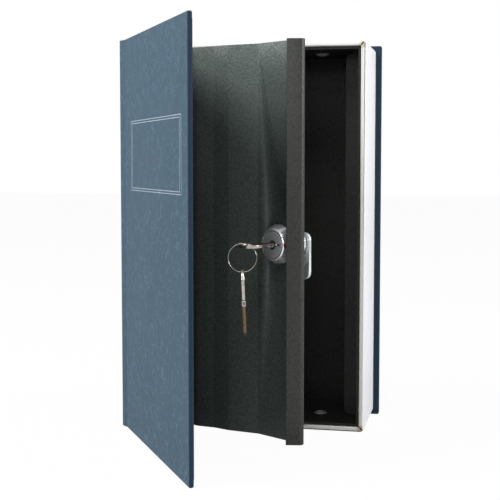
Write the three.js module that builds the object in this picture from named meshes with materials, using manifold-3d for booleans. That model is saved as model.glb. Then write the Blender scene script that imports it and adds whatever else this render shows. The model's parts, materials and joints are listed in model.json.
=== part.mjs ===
// Book diversion safe: a steel cash box with a keyed door, dressed as a small hardback book.
// Millimetres. X runs from the spine to the fore edge, Y from the front cover to the back cover, Z up.
// The origin is the middle of the back cover's bottom edge, on which the safe stands with its spine.
// At rest the steel door and the front cover stand ajar, with one key in the lock and its spare on a ring.
import * as THREE from "three";
import { mergeVertices } from "three/addons/utils/BufferGeometryUtils.js";
import Module from "manifold-3d";

// Case of the book
const COVER_HEIGHT = 180;
const BOOK_DEPTH = 55;
const COVER_WIDTH = 108.5;
const BOARD = 2;
const BOARD_CORNER = 1.5;
const ENDPAPER = 0.3;
const ENDPAPER_INSET = 2.2;
const SPINE_THICKNESS = 1.6;
const SPINE_ROUND = 2.7;
const SPINE_SHOULDER = 1.8;
const SPINE_TO_BOARD = 5;
const JOINT_CLOTH = 0.8;
const JOINT_BULGE = 2.6;
const JOINT_OUT = 6.2;
const JOINT_GAP = 0.8;

// Page block
const SQUARE = 2;
const HEAD_SQUARE = 2.6;
const FRONT_GAP = 1;
const PAGE_WALL = 2;
const MITRE_GAP = 0.2;

// Steel box
const STEEL = 1;
const BOX_TO_SPINE = 0.5;
const STEEL_SETBACK = 1;
const HINGE_WALL_SETBACK = 3.2;
const STRIKE_WIDTH = 7.7;
const STRIKE_DEPTH = 18.5;
const STRIKE_WEB = 14;
const STRIKE_CORNER = 3;
const RIVET_HEAD_RADIUS = 3.2;
const RIVET_HEAD_HEIGHT = 1.1;
const RIVET_SHANK_RADIUS = 1.3;
const RIVET_GRIP = 1;
const RIVET_DEPTH = 20;
const RIVET_INSET = 19;

// Hinge rod, on which the door turns and round which the front joint bends
const AXIS_FROM_BOX = 2.5;
const AXIS_FROM_COVER = 3.6;
const ROD_RADIUS = 0.8;
const ROD_PLAY = 0.06;
const KNUCKLE_RADIUS = 1.6;
const LEAF = 0.7;
const LEAF_WIDTH = 11;
const LEAF_END_MARGIN = 6;
const KNUCKLE_COUNT = 5;
const KNUCKLE_GAP = 0.5;

// Steel door, one bent sheet: a flat hinge land, two slopes with a step between them, a sunk lock land, and
// a lip along its free edge that folds back over the land
const DOOR_HEIGHT = 166;
const DOOR_LIFT = 0.7;
const DOOR_REACH = 102.5;
const DOOR_SHEET = 1.2;
const DOOR_START = 2.8;
const DOOR_SETBACK = 0.4;
const FIRST_CREASE = 46;
const SECOND_CREASE = 54;
const THIRD_CREASE = 62;
const FOURTH_CREASE = 75.5;
const STEP_DEPTH = 3.2;
const STEP_END_DEPTH = 4.3;
const RECESS_DEPTH = 9.2;
const LIP_BEND = 0.8;
const LIP_LEAN = 43;
const LIP_FLAT = 5.4;

// Lock
const LOCK_FROM_EDGE = 14.3;
const BEZEL_RADIUS = 8.4;
const BEZEL_LIP_RADIUS = 6.3;
const BEZEL_HEIGHT = 4.1;
const BEZEL_EDGE = 0.5;
const BEZEL_CHAMFER = 0.35;
const BARREL_RADIUS = 6.3;
const BARREL_LENGTH = 9.8;
const PLUG_RADIUS = 4.2;
const PLUG_FACE_RADIUS = 5.5;
const PLUG_FACE_THICKNESS = 1.5;
const PLUG_PLAY = 0.1;
const PLUG_PROUD = 0.1;
const NUT_ACROSS_FLATS = 17;
const NUT_THICKNESS = 3;
const WASHER_RADIUS = 8.4;
const WASHER_THICKNESS = 0.8;
const MARK_RADIUS = 1;
const MARK_SETBACK = 0.9;
const MARK_HEIGHT = 0.35;
const CAM_HALF_WIDTH = 7.4;
const CAM_TIP = 15.2;
const CAM_TAIL = 4.8;
const CAM_THICKNESS = 1.6;
const CAM_CORNER = 3.2;
const BOSS_RADIUS = 2.6;
const CAM_SCREW_HEAD_RADIUS = 3.6;
const CAM_SCREW_HEAD = 1.8;
const CAM_SCREW_RADIUS = 1.2;
const CAM_SCREW_LENGTH = 5;

// Keys and ring
const KEY_THICKNESS = 1.4;
const BOW_RADIUS = 5.2;
const BOW_HOLE_RADIUS = 2.9;
const BOW_RIM = 1.3;
const BOW_LENGTH = 13;
const NECK_WIDTH = 7.4;
const KEY_OUT = 17.5;
const KEY_SHOULDER_WIDTH = 6.4;
const KEY_SHOULDER_LENGTH = 2.7;
const BLADE_WIDTH = 4.6;
const BLADE_LENGTH = 12.1;
const BLADE_TIP = 1.6;
const NOTCH_PITCH = 2.4;
const NOTCH_DEPTH = 0.9;
const NOTCH_WIDTH = 1.2;
const RING_RADIUS = 5.8;
const WIRE_RADIUS = 0.3;
const RING_IN = 2;
const RING_SIDE = 1.4;
const RING_ANGLE = 43;
const SPARE_LEAN = 3.7;

// Rest pose
const DOOR_OPEN = 34.2;
const COVER_OPEN = 59.1;

// Running and seating clearances
const SEAT = 0.3;
const ROUND_SIDES = 32;
const SMALL_SIDES = 20;
const WIRE_SIDES = 8;
const RING_STEPS = 40;
const ARC_STEPS = 6;

const wasm = await Module();
wasm.setup();

const radians = THREE.MathUtils.degToRad;

// Places along Y, from the front cover's outer face
const originY = BOOK_DEPTH - BOARD / 2;
const frontFace = -originY;
const rimY = frontFace + BOARD + FRONT_GAP;
const backInnerY = BOARD / 2 - BOARD;
const endpaperY = backInnerY - ENDPAPER;
const boxFrontY = rimY + STEEL_SETBACK;
const hingeWallY = rimY + HINGE_WALL_SETBACK;
const boxBackY = endpaperY - SEAT;

// Places along X, from the middle of the back cover
const coverEdgeX = COVER_WIDTH / 2;
const boardStartX = -COVER_WIDTH / 2;
const pageEdgeX = coverEdgeX - SQUARE;
const pageInnerX = pageEdgeX - PAGE_WALL;
const boxLeftX = boardStartX + BOX_TO_SPINE;
const boxRightX = pageInnerX - SEAT;
const cavityRightX = boxRightX - STEEL;
const spineX = boardStartX - SPINE_TO_BOARD;
const axisX = boxLeftX - AXIS_FROM_BOX;
const axisY = frontFace + AXIS_FROM_COVER;

// Places along Z
const pageBottom = HEAD_SQUARE;
const pageTop = COVER_HEIGHT - HEAD_SQUARE;
const boxBottom = pageBottom + PAGE_WALL + SEAT;
const boxTop = pageTop - PAGE_WALL - SEAT;
const midHeight = COVER_HEIGHT / 2;
const doorBottom = midHeight - DOOR_HEIGHT / 2 + DOOR_LIFT;

// Places in the door's own frame: u from the hinge axis to the free edge, v inwards
const doorFront = rimY + DOOR_SETBACK - axisY;
const landFront = doorFront + RECESS_DEPTH;
const landBack = landFront + DOOR_SHEET;
const lockU = DOOR_REACH - LOCK_FROM_EDGE;

function solid(geometry) {
  const bare = geometry.index ? geometry.toNonIndexed() : geometry.clone();
  bare.deleteAttribute("normal");
  bare.deleteAttribute("uv");
  const merged = mergeVertices(bare, 1e-4);
  const make = (index) =>
    new wasm.Manifold(
      new wasm.Mesh({
        numProp: 3,
        vertProperties: new Float32Array(merged.attributes.position.array),
        triVerts: new Uint32Array(index),
      }),
    );
  const made = make(merged.index.array);
  if (made.volume() >= 0) return made;
  const turned = Array.from(merged.index.array);
  for (let i = 0; i < turned.length; i += 3) {
    [turned[i + 1], turned[i + 2]] = [turned[i + 2], turned[i + 1]];
  }
  return make(turned);
}

function geometryOf(body) {
  const mesh = body.getMesh();
  const position = new Float32Array(mesh.numVert * 3);
  for (let i = 0; i < mesh.numVert; i += 1) {
    for (let k = 0; k < 3; k += 1) {
      position[3 * i + k] = mesh.vertProperties[mesh.numProp * i + k];
    }
  }
  const geometry = new THREE.BufferGeometry();
  geometry.setAttribute("position", new THREE.BufferAttribute(position, 3));
  geometry.setIndex(new THREE.BufferAttribute(mesh.triVerts, 1));
  return geometry;
}

function block(x0, x1, y0, y1, z0, z1) {
  const geometry = new THREE.BoxGeometry(x1 - x0, y1 - y0, z1 - z0);
  geometry.translate((x0 + x1) / 2, (y0 + y1) / 2, (z0 + z1) / 2);
  return solid(geometry);
}

// A plan outline in X and Y, raised along Z.
function raised(points, z0, z1) {
  const shape = new THREE.Shape(points.map(([x, y]) => new THREE.Vector2(x, y)));
  const geometry = new THREE.ExtrudeGeometry(shape, { depth: z1 - z0, bevelEnabled: false });
  geometry.translate(0, 0, z0);
  return solid(geometry);
}

// A front outline in X and Z, carried along Y.
function carried(shape, y0, y1) {
  const options = { depth: y1 - y0, bevelEnabled: false, curveSegments: ARC_STEPS };
  const geometry = new THREE.ExtrudeGeometry(shape, options);
  geometry.rotateX(Math.PI / 2);
  geometry.translate(0, y1, 0);
  return solid(geometry);
}

// A rectangle in two directions with its corners rounded by the radii [low-low, high-low, high-high, low-high].
function roundedRectangle(x0, x1, z0, z1, radii) {
  const [a, b, c, d] = radii;
  const shape = new THREE.Shape();
  shape.moveTo(x0 + a, z0);
  shape.lineTo(x1 - b, z0);
  if (b) shape.absarc(x1 - b, z0 + b, b, -Math.PI / 2, 0, false);
  shape.lineTo(x1, z1 - c);
  if (c) shape.absarc(x1 - c, z1 - c, c, 0, Math.PI / 2, false);
  shape.lineTo(x0 + d, z1);
  if (d) shape.absarc(x0 + d, z1 - d, d, Math.PI / 2, Math.PI, false);
  shape.lineTo(x0, z0 + a);
  if (a) shape.absarc(x0 + a, z0 + a, a, Math.PI, 1.5 * Math.PI, false);
  return shape;
}

// A profile of radius and height turned round Y.
function turned(profile, sides = ROUND_SIDES) {
  const points = profile.map(([r, y]) => new THREE.Vector2(r, y));
  return solid(new THREE.LatheGeometry(points, sides));
}

// A cylinder along Z.
function post(radius, x, y, z0, z1, sides = SMALL_SIDES) {
  const geometry = new THREE.CylinderGeometry(radius, radius, z1 - z0, sides);
  geometry.rotateX(Math.PI / 2);
  geometry.translate(x, y, (z0 + z1) / 2);
  return solid(geometry);
}

// A sheet that follows a line of points: the line is one face, and the other lies on its left.
function sheetOutline(line, thickness) {
  const offset = line.map((point, i) => {
    const before = line[Math.max(i - 1, 0)];
    const after = line[Math.min(i + 1, line.length - 1)];
    const left = ([x0, y0], [x1, y1]) => {
      const length = Math.hypot(x1 - x0, y1 - y0) || 1;
      return [-(y1 - y0) / length, (x1 - x0) / length];
    };
    const first = i > 0 ? left(before, point) : left(point, after);
    const second = i < line.length - 1 ? left(point, after) : first;
    const scale = thickness / (1 + first[0] * second[0] + first[1] * second[1]);
    return [point[0] + (first[0] + second[0]) * scale, point[1] + (first[1] + second[1]) * scale];
  });
  return [...line, ...offset.reverse()];
}

function finish(color, roughness, metalness) {
  return new THREE.MeshStandardMaterial({ color, roughness, metalness });
}

const bookcloth = finish("#5b6d7c", 0.85, 0);
const paper = finish("#1c2024", 0.8, 0);
const pageWhite = finish("#eef0f0", 0.45, 0);
const hammertone = finish("#3a403e", 0.4, 0.3);
const zincSteel = finish("#9a9c9a", 0.4, 0.9);
const chrome = finish("#d9dadb", 0.15, 1);
const nickel = finish("#c4bcae", 0.25, 1);
const redEnamel = finish("#b3122c", 0.35, 0);

function piece(name, body, material) {
  const mesh = new THREE.Mesh(geometryOf(body), material);
  mesh.name = name;
  return mesh;
}

function backCover() {
  const radii = [0, BOARD_CORNER, BOARD_CORNER, 0];
  const shape = roundedRectangle(boardStartX, coverEdgeX, 0, COVER_HEIGHT, radii);
  return carried(shape, backInnerY, backInnerY + BOARD);
}

function backEndpaper() {
  return block(
    boardStartX + ENDPAPER_INSET,
    coverEdgeX - ENDPAPER_INSET,
    endpaperY,
    backInnerY,
    ENDPAPER_INSET,
    COVER_HEIGHT - ENDPAPER_INSET,
  );
}

// The spine board bows outwards between its two shoulders on a circular arc.
const spineFrontY = axisY + KNUCKLE_RADIUS + SPINE_SHOULDER;
const spineBackY = backInnerY - SEAT;

function spineBoard() {
  const half = (spineBackY - spineFrontY) / 2;
  const radius = (half * half + SPINE_ROUND * SPINE_ROUND) / (2 * SPINE_ROUND);
  const sweep = Math.asin(half / radius);
  const steps = 3 * ARC_STEPS;
  const line = Array.from({ length: steps + 1 }, (_, i) => {
    const angle = -sweep + (2 * sweep * i) / steps;
    const x = spineX + radius * (1 - Math.cos(angle)) - SPINE_ROUND;
    return [x, spineFrontY + half + radius * Math.sin(angle)];
  });
  return raised(sheetOutline(line.reverse(), SPINE_THICKNESS), 0, COVER_HEIGHT);
}

// The cloth sinks into a groove between the spine and the back board.
function backJointCloth() {
  const y0 = backInnerY + (BOARD - JOINT_CLOTH) / 2;
  return block(spineX + SPINE_THICKNESS / 2, boardStartX - SEAT, y0, y0 + JOINT_CLOTH, 0, COVER_HEIGHT);
}

// Where the front board's hinge edge lies when the cover stands open, in X and Y.
function coverPoint(along, inwards) {
  const angle = radians(COVER_OPEN);
  return [
    axisX + along * Math.cos(angle) + inwards * Math.sin(angle),
    axisY - along * Math.sin(angle) + inwards * Math.cos(angle),
  ];
}

const coverStart = boardStartX - axisX;
const coverOuter = frontFace - axisY;

// The cloth bends round the hinge knuckles from the spine's shoulder to the front board.
function frontJointCloth() {
  const [x0, y0] = coverPoint(coverStart - JOINT_GAP, coverOuter + (BOARD + JOINT_CLOTH) / 2);
  const [x2, y2] = [spineX + SPINE_THICKNESS, spineFrontY - SEAT - JOINT_CLOTH];
  const curve = new THREE.QuadraticBezierCurve(
    new THREE.Vector2(x0, y0),
    new THREE.Vector2(spineX + JOINT_CLOTH - JOINT_OUT, (y0 + y2) / 2 + JOINT_BULGE),
    new THREE.Vector2(x2, y2),
  );
  const line = curve.getPoints(2 * ARC_STEPS).map((p) => [p.x, p.y]);
  return raised(sheetOutline(line, JOINT_CLOTH), 0, COVER_HEIGHT);
}

function frontCover() {
  const radii = [0, BOARD_CORNER, BOARD_CORNER, 0];
  const end = coverStart + COVER_WIDTH;
  const shape = roundedRectangle(coverStart, end, 0, COVER_HEIGHT, radii);
  return carried(shape, coverOuter, coverOuter + BOARD);
}

function frontEndpaper() {
  const y0 = coverOuter + BOARD + SEAT;
  return block(
    coverStart + ENDPAPER_INSET,
    coverStart + COVER_WIDTH - ENDPAPER_INSET,
    y0,
    y0 + ENDPAPER,
    ENDPAPER_INSET,
    COVER_HEIGHT - ENDPAPER_INSET,
  );
}

// Two rivets hold the head strip to the box, and two the tail strip.
const rivetY = rimY + RIVET_DEPTH;
const rivetXs = { fore: cavityRightX - RIVET_INSET, spine: boxLeftX + STEEL + RIVET_INSET };

function rivetHole(x, top, radius) {
  const wall = PAGE_WALL - RIVET_GRIP;
  const z0 = top ? boxTop - STEEL - SEAT : pageBottom + wall;
  const z1 = top ? pageTop - wall : boxBottom + STEEL + SEAT;
  return post(radius, x, rivetY, z0, z1);
}

function headStrip(top) {
  const outer = top ? pageTop : pageBottom;
  const inner = top ? outer - PAGE_WALL : outer + PAGE_WALL;
  const shape = new THREE.Shape();
  shape.moveTo(boxLeftX, inner);
  shape.lineTo(pageInnerX - MITRE_GAP, inner);
  shape.lineTo(pageEdgeX - MITRE_GAP, outer);
  shape.lineTo(boxLeftX, outer);
  let strip = carried(shape, rimY, endpaperY);
  for (const x of Object.values(rivetXs)) {
    strip = strip.subtract(rivetHole(x, top, RIVET_SHANK_RADIUS + SEAT));
  }
  return strip;
}

function foreEdgeStrip() {
  const shape = new THREE.Shape();
  shape.moveTo(pageInnerX, pageBottom + PAGE_WALL + MITRE_GAP);
  shape.lineTo(pageEdgeX, pageBottom + MITRE_GAP);
  shape.lineTo(pageEdgeX, pageTop - MITRE_GAP);
  shape.lineTo(pageInnerX, pageTop - PAGE_WALL - MITRE_GAP);
  return carried(shape, rimY, endpaperY);
}

// A folded tray, open at the front, with its hinge wall set back behind the door's land.
function steelBox() {
  const past = 1;
  let tray = block(boxLeftX, boxRightX, boxFrontY, boxBackY, boxBottom, boxTop);
  tray = tray.subtract(
    block(
      boxLeftX + STEEL,
      cavityRightX,
      boxFrontY - past,
      boxBackY - STEEL,
      boxBottom + STEEL,
      boxTop - STEEL,
    ),
  );
  tray = tray.subtract(
    block(
      boxLeftX - past,
      boxLeftX + STEEL + past,
      boxFrontY - past,
      hingeWallY,
      boxBottom + STEEL,
      boxTop - STEEL,
    ),
  );
  for (const x of Object.values(rivetXs)) {
    for (const top of [true, false]) {
      tray = tray.subtract(rivetHole(x, top, RIVET_SHANK_RADIUS + SEAT));
    }
  }
  return tray;
}

// The lip that the cam catches behind, on a web along the fore-edge wall.
function strikeLip() {
  const x1 = cavityRightX - SEAT;
  const x0 = cavityRightX - STRIKE_WIDTH;
  const y0 = rimY + STRIKE_DEPTH;
  const z0 = boxBottom + STEEL + SEAT;
  const z1 = boxTop - STEEL - SEAT;
  const shape = roundedRectangle(x0, x1, z0, z1, [STRIKE_CORNER, 0, 0, STRIKE_CORNER]);
  const lip = carried(shape, y0, y0 + STEEL);
  return lip.add(block(x1 - STEEL, x1, y0, y0 + STRIKE_WEB, z0, z1));
}

// A domed head inside the cavity and a shank through the wall into the page strip.
function rivet(x, top) {
  const wall = top ? boxTop - STEEL : boxBottom + STEEL;
  const grip = STEEL + RIVET_GRIP;
  const body = turned([
    [0, -SEAT - RIVET_HEAD_HEIGHT],
    [RIVET_HEAD_RADIUS * 0.55, -SEAT - RIVET_HEAD_HEIGHT * 0.9],
    [RIVET_HEAD_RADIUS * 0.88, -SEAT - RIVET_HEAD_HEIGHT * 0.5],
    [RIVET_HEAD_RADIUS, -SEAT],
    [RIVET_SHANK_RADIUS, -SEAT],
    [RIVET_SHANK_RADIUS, grip],
    [0, grip],
  ]);
  const turn = top ? Math.PI / 2 : -Math.PI / 2;
  const mesh = new THREE.Mesh(geometryOf(body), zincSteel);
  mesh.rotation.x = turn;
  mesh.position.set(x, rivetY, wall);
  return mesh;
}

// Knuckles share the rod in turn: even ones belong to the box leaf, odd ones to the door leaf.
const leafBottom = doorBottom + LEAF_END_MARGIN;
const leafHeight = DOOR_HEIGHT - 2 * LEAF_END_MARGIN;

function knuckleSpans(parity) {
  const pitch = leafHeight / KNUCKLE_COUNT;
  const spans = [];
  for (let i = parity; i < KNUCKLE_COUNT; i += 2) {
    const z0 = leafBottom + i * pitch;
    spans.push([z0 + KNUCKLE_GAP / 2, z0 + pitch - KNUCKLE_GAP / 2]);
  }
  return spans;
}

function rodBore(x, y) {
  const past = 1;
  return post(ROD_RADIUS + ROD_PLAY, x, y, leafBottom - past, leafBottom + leafHeight + past);
}

function boxLeaf() {
  const x1 = boxLeftX - SEAT;
  const x0 = x1 - LEAF;
  const clear = hingeWallY;
  let leaf = block(x0, x1, clear, clear + LEAF_WIDTH, leafBottom, leafBottom + leafHeight);
  for (const [z0, z1] of knuckleSpans(0)) {
    leaf = leaf.add(post(KNUCKLE_RADIUS, axisX, axisY, z0, z1));
    leaf = leaf.add(block(axisX + ROD_RADIUS, x1, axisY, clear + LEAF, z0, z1));
  }
  return leaf.subtract(rodBore(axisX, axisY));
}

function doorLeaf() {
  const v0 = doorFront + DOOR_SHEET + SEAT;
  const v1 = v0 + LEAF;
  let leaf = block(DOOR_START, DOOR_START + LEAF_WIDTH, v0, v1, leafBottom, leafBottom + leafHeight);
  for (const [z0, z1] of knuckleSpans(1)) {
    leaf = leaf.add(post(KNUCKLE_RADIUS, 0, 0, z0, z1));
    leaf = leaf.add(block(-ROD_RADIUS / 2, DOOR_START - SEAT, ROD_RADIUS + 2 * ROD_PLAY, v1, z0, z1));
    leaf = leaf.add(block(0, DOOR_START + LEAF, v0, v1, z0, z1));
  }
  return leaf.subtract(rodBore(0, 0));
}

function hingeRod() {
  return post(ROD_RADIUS, axisX, axisY, leafBottom - ROD_RADIUS, leafBottom + leafHeight + ROD_RADIUS);
}

// The lip turns back on an arc until it leans over the land by its lean.
function doorPanel() {
  const bendU = DOOR_REACH - DOOR_SHEET - LIP_BEND;
  const bendV = landFront - LIP_BEND;
  const lean = radians(LIP_LEAN);
  const sweep = Math.PI - lean;
  const arc = Array.from({ length: 2 * ARC_STEPS + 1 }, (_, i) => {
    const angle = Math.PI / 2 - (sweep * i) / (2 * ARC_STEPS);
    return [bendU + LIP_BEND * Math.cos(angle), bendV + LIP_BEND * Math.sin(angle)];
  });
  const [turnU, turnV] = arc[arc.length - 1];
  const line = [
    [DOOR_START, doorFront],
    [FIRST_CREASE, doorFront],
    [SECOND_CREASE, doorFront + STEP_DEPTH],
    [THIRD_CREASE, doorFront + STEP_END_DEPTH],
    [FOURTH_CREASE, landFront],
    ...arc,
    [turnU - LIP_FLAT * Math.cos(lean), turnV - LIP_FLAT * Math.sin(lean)],
  ];
  const panel = raised(sheetOutline(line, DOOR_SHEET), doorBottom, doorBottom + DOOR_HEIGHT);
  const past = 2;
  const radius = BARREL_RADIUS + SEAT;
  const hole = new THREE.CylinderGeometry(radius, radius, DOOR_SHEET + past, ROUND_SIDES);
  hole.translate(lockU, landFront + DOOR_SHEET / 2, midHeight);
  return panel.subtract(solid(hole));
}

// Lock heights along v: the bezel stands on the land, and the barrel runs through the door.
const bezelBack = landFront - SEAT;
const bezelFace = bezelBack - BEZEL_HEIGHT;
const barrelEnd = bezelBack + BARREL_LENGTH;
const plugFace = bezelFace - PLUG_PROUD;
const plugFaceBack = plugFace + PLUG_FACE_THICKNESS;
const plugEnd = barrelEnd + SEAT;
const camFront = plugEnd + SEAT;
const camBack = camFront + CAM_THICKNESS;
const bossEnd = camBack + PLUG_PLAY;

function lockHousing() {
  const recessFloor = plugFaceBack + SEAT;
  const recess = PLUG_FACE_RADIUS + PLUG_PLAY;
  const bore = PLUG_RADIUS + PLUG_PLAY;
  return turned([
    [bore, recessFloor],
    [bore, barrelEnd],
    [BARREL_RADIUS, barrelEnd],
    [BARREL_RADIUS, bezelBack],
    [BEZEL_RADIUS, bezelBack],
    [BEZEL_RADIUS, bezelBack - BEZEL_EDGE],
    [BEZEL_LIP_RADIUS + BEZEL_CHAMFER, bezelFace + BEZEL_CHAMFER],
    [BEZEL_LIP_RADIUS, bezelFace],
    [recess, bezelFace],
    [recess, recessFloor],
    [bore, recessFloor],
  ]);
}

function lockPlug() {
  let plug = turned([
    [0, plugFace],
    [PLUG_FACE_RADIUS, plugFace],
    [PLUG_FACE_RADIUS, plugFaceBack],
    [PLUG_RADIUS, plugFaceBack],
    [PLUG_RADIUS, plugEnd],
    [BOSS_RADIUS, plugEnd],
    [BOSS_RADIUS, bossEnd],
    [0, bossEnd],
  ]);
  const past = 1;
  const halfWidth = BLADE_WIDTH / 2 + SEAT;
  const halfHeight = KEY_THICKNESS / 2 + SEAT;
  const keyTip = keyEnd + KEY_LENGTH;
  plug = plug.subtract(block(-halfWidth, halfWidth, plugFace - past, keyTip + SEAT, -halfHeight, halfHeight));
  const hole = new THREE.CylinderGeometry(
    CAM_SCREW_RADIUS + SEAT,
    CAM_SCREW_RADIUS + SEAT,
    CAM_SCREW_LENGTH,
    SMALL_SIDES,
  );
  hole.translate(0, bossEnd - CAM_SCREW_LENGTH / 2 + SEAT, 0);
  return plug.subtract(solid(hole));
}

function ringPlate(outer, inner, v0, v1, sides = ROUND_SIDES) {
  return turned(
    [
      [inner, v0],
      [outer, v0],
      [outer, v1],
      [inner, v1],
      [inner, v0],
    ],
    sides,
  );
}

const washerFront = landBack + SEAT;
const nutFront = washerFront + WASHER_THICKNESS + SEAT;

function lockWasher() {
  return ringPlate(WASHER_RADIUS, BARREL_RADIUS + SEAT, washerFront, washerFront + WASHER_THICKNESS);
}

function lockNut() {
  const corner = NUT_ACROSS_FLATS / Math.sqrt(3);
  const hexagon = new THREE.CylinderGeometry(corner, corner, NUT_THICKNESS, 6);
  hexagon.translate(0, nutFront + NUT_THICKNESS / 2, 0);
  const past = 1;
  const radius = BARREL_RADIUS + SEAT;
  const bore = new THREE.CylinderGeometry(radius, radius, NUT_THICKNESS + past, ROUND_SIDES);
  bore.translate(0, nutFront + NUT_THICKNESS / 2, 0);
  return solid(hexagon).subtract(solid(bore));
}

// A dot of red enamel on the bezel's cone, towards the free edge and level with the keyway.
function lockMark() {
  const rise = BEZEL_HEIGHT - BEZEL_EDGE - BEZEL_CHAMFER;
  const run = BEZEL_RADIUS - BEZEL_LIP_RADIUS - BEZEL_CHAMFER;
  const setback = MARK_SETBACK - BEZEL_CHAMFER;
  const dot = new THREE.CylinderGeometry(MARK_RADIUS, MARK_RADIUS, MARK_HEIGHT, SMALL_SIDES);
  dot.translate(0, -MARK_HEIGHT / 2 - SEAT, 0);
  dot.rotateZ(Math.atan2(rise, run));
  dot.translate(BEZEL_LIP_RADIUS + BEZEL_CHAMFER + (setback * run) / rise, bezelFace + MARK_SETBACK, 0);
  return solid(dot);
}

function lockCam() {
  const radii = [CAM_CORNER, CAM_CORNER, CAM_CORNER, CAM_CORNER];
  const shape = roundedRectangle(-CAM_HALF_WIDTH, CAM_HALF_WIDTH, -CAM_TIP, CAM_TAIL, radii);
  const hole = new THREE.CylinderGeometry(
    BOSS_RADIUS + SEAT,
    BOSS_RADIUS + SEAT,
    2 * CAM_THICKNESS,
    SMALL_SIDES,
  );
  hole.translate(0, (camFront + camBack) / 2, 0);
  return carried(shape, camFront, camBack).subtract(solid(hole));
}

function camScrew() {
  const seat = bossEnd + SEAT;
  const shank = CAM_SCREW_LENGTH - 2 * SEAT;
  return turned([
    [0, seat - shank],
    [CAM_SCREW_RADIUS, seat - shank],
    [CAM_SCREW_RADIUS, seat],
    [CAM_SCREW_HEAD_RADIUS, seat],
    [CAM_SCREW_HEAD_RADIUS, seat + CAM_SCREW_HEAD * 0.6],
    [CAM_SCREW_HEAD_RADIUS * 0.6, seat + CAM_SCREW_HEAD],
    [0, seat + CAM_SCREW_HEAD],
  ]);
}

// A flat key in its own frame: its bow's end is at 0, and its blade points along +Y. It lies flat in X and Y.
const KEY_LENGTH = BOW_LENGTH + KEY_SHOULDER_LENGTH + BLADE_LENGTH;
const keyEnd = bezelFace - KEY_OUT;

function flatKey() {
  const halfBlade = BLADE_WIDTH / 2;
  const halfNeck = NECK_WIDTH / 2;
  const halfShoulder = KEY_SHOULDER_WIDTH / 2;
  const shoulderEnd = BOW_LENGTH + KEY_SHOULDER_LENGTH;
  const half = KEY_THICKNESS / 2;
  let key = post(BOW_RADIUS, 0, BOW_RADIUS, -half, half, ROUND_SIDES);
  const neck = [
    [-BOW_RADIUS, BOW_RADIUS],
    [BOW_RADIUS, BOW_RADIUS],
    [halfNeck, BOW_LENGTH],
    [-halfNeck, BOW_LENGTH],
  ];
  key = key.add(raised(neck, -half, half));
  key = key.add(block(-halfShoulder, halfShoulder, BOW_RADIUS, shoulderEnd, -half, half));
  key = key.add(
    raised(
      [
        [-halfBlade, shoulderEnd - 1],
        [halfBlade, shoulderEnd - 1],
        [halfBlade, KEY_LENGTH - BLADE_TIP],
        [halfBlade - BLADE_TIP, KEY_LENGTH],
        [-halfBlade + BLADE_TIP, KEY_LENGTH],
        [-halfBlade, KEY_LENGTH - BLADE_TIP],
      ],
      -half,
      half,
    ),
  );
  for (let y = shoulderEnd + 2 * NOTCH_PITCH; y < KEY_LENGTH - NOTCH_PITCH; y += NOTCH_PITCH) {
    const notch = [
      [halfBlade + 1, y - NOTCH_WIDTH],
      [halfBlade + 1, y + NOTCH_WIDTH],
      [halfBlade - NOTCH_DEPTH, y],
    ];
    key = key.subtract(raised(notch, -half - 1, half + 1));
  }
  const hole = post(BOW_HOLE_RADIUS, 0, BOW_RIM + BOW_HOLE_RADIUS, -half - 1, half + 1, ROUND_SIDES);
  return key.subtract(hole);
}

// The ring, in its own frame: it lies in X and Z round the origin.
function keyRing() {
  const steps = Array.from({ length: WIRE_SIDES + 1 }, (_, i) => {
    const angle = (2 * Math.PI * i) / WIRE_SIDES;
    return [RING_RADIUS + WIRE_RADIUS * Math.cos(angle), WIRE_RADIUS * Math.sin(angle)];
  });
  steps[WIRE_SIDES] = steps[0];
  return turned(steps, RING_STEPS);
}

// The ring hangs from the bow's end by its top, and the spare key hangs from the ring's foot, leaning a little.
const ringDrop = RING_RADIUS - WIRE_RADIUS - KEY_THICKNESS / 2 - SEAT / 2;

function keysAndLock() {
  const lock = new THREE.Group();
  lock.position.set(lockU, 0, midHeight);
  lock.add(piece("lock_housing", lockHousing(), chrome));
  lock.add(piece("lock_washer", lockWasher(), zincSteel));
  lock.add(piece("lock_nut", lockNut(), zincSteel));
  lock.add(piece("lock_mark", lockMark(), redEnamel));
  lock.add(piece("lock_plug", lockPlug(), chrome));
  lock.add(piece("lock_cam", lockCam(), chrome));
  lock.add(piece("cam_screw", camScrew(), zincSteel));
  const key = piece("key", flatKey(), nickel);
  key.position.set(0, keyEnd, 0);
  lock.add(key);

  const hanging = new THREE.Group();
  hanging.position.set(-RING_SIDE, keyEnd + RING_IN, -ringDrop);
  hanging.rotation.z = Math.PI / 2 - radians(RING_ANGLE);
  hanging.add(piece("key_ring", keyRing(), nickel));
  const spare = piece("spare_key", flatKey(), nickel);
  const [across, down, through] = [[0, -1, 0], [0, 0, -1], [1, 0, 0]].map((v) => new THREE.Vector3(...v));
  spare.setRotationFromMatrix(new THREE.Matrix4().makeBasis(across, down, through));
  spare.position.set(0, 0, WIRE_RADIUS + SEAT / 2 + BOW_RIM);
  const leaning = new THREE.Group();
  leaning.position.set(0, 0, -RING_RADIUS);
  leaning.rotation.y = -radians(SPARE_LEAN);
  leaning.add(spare);
  hanging.add(leaning);
  lock.add(hanging);
  return lock;
}

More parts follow.
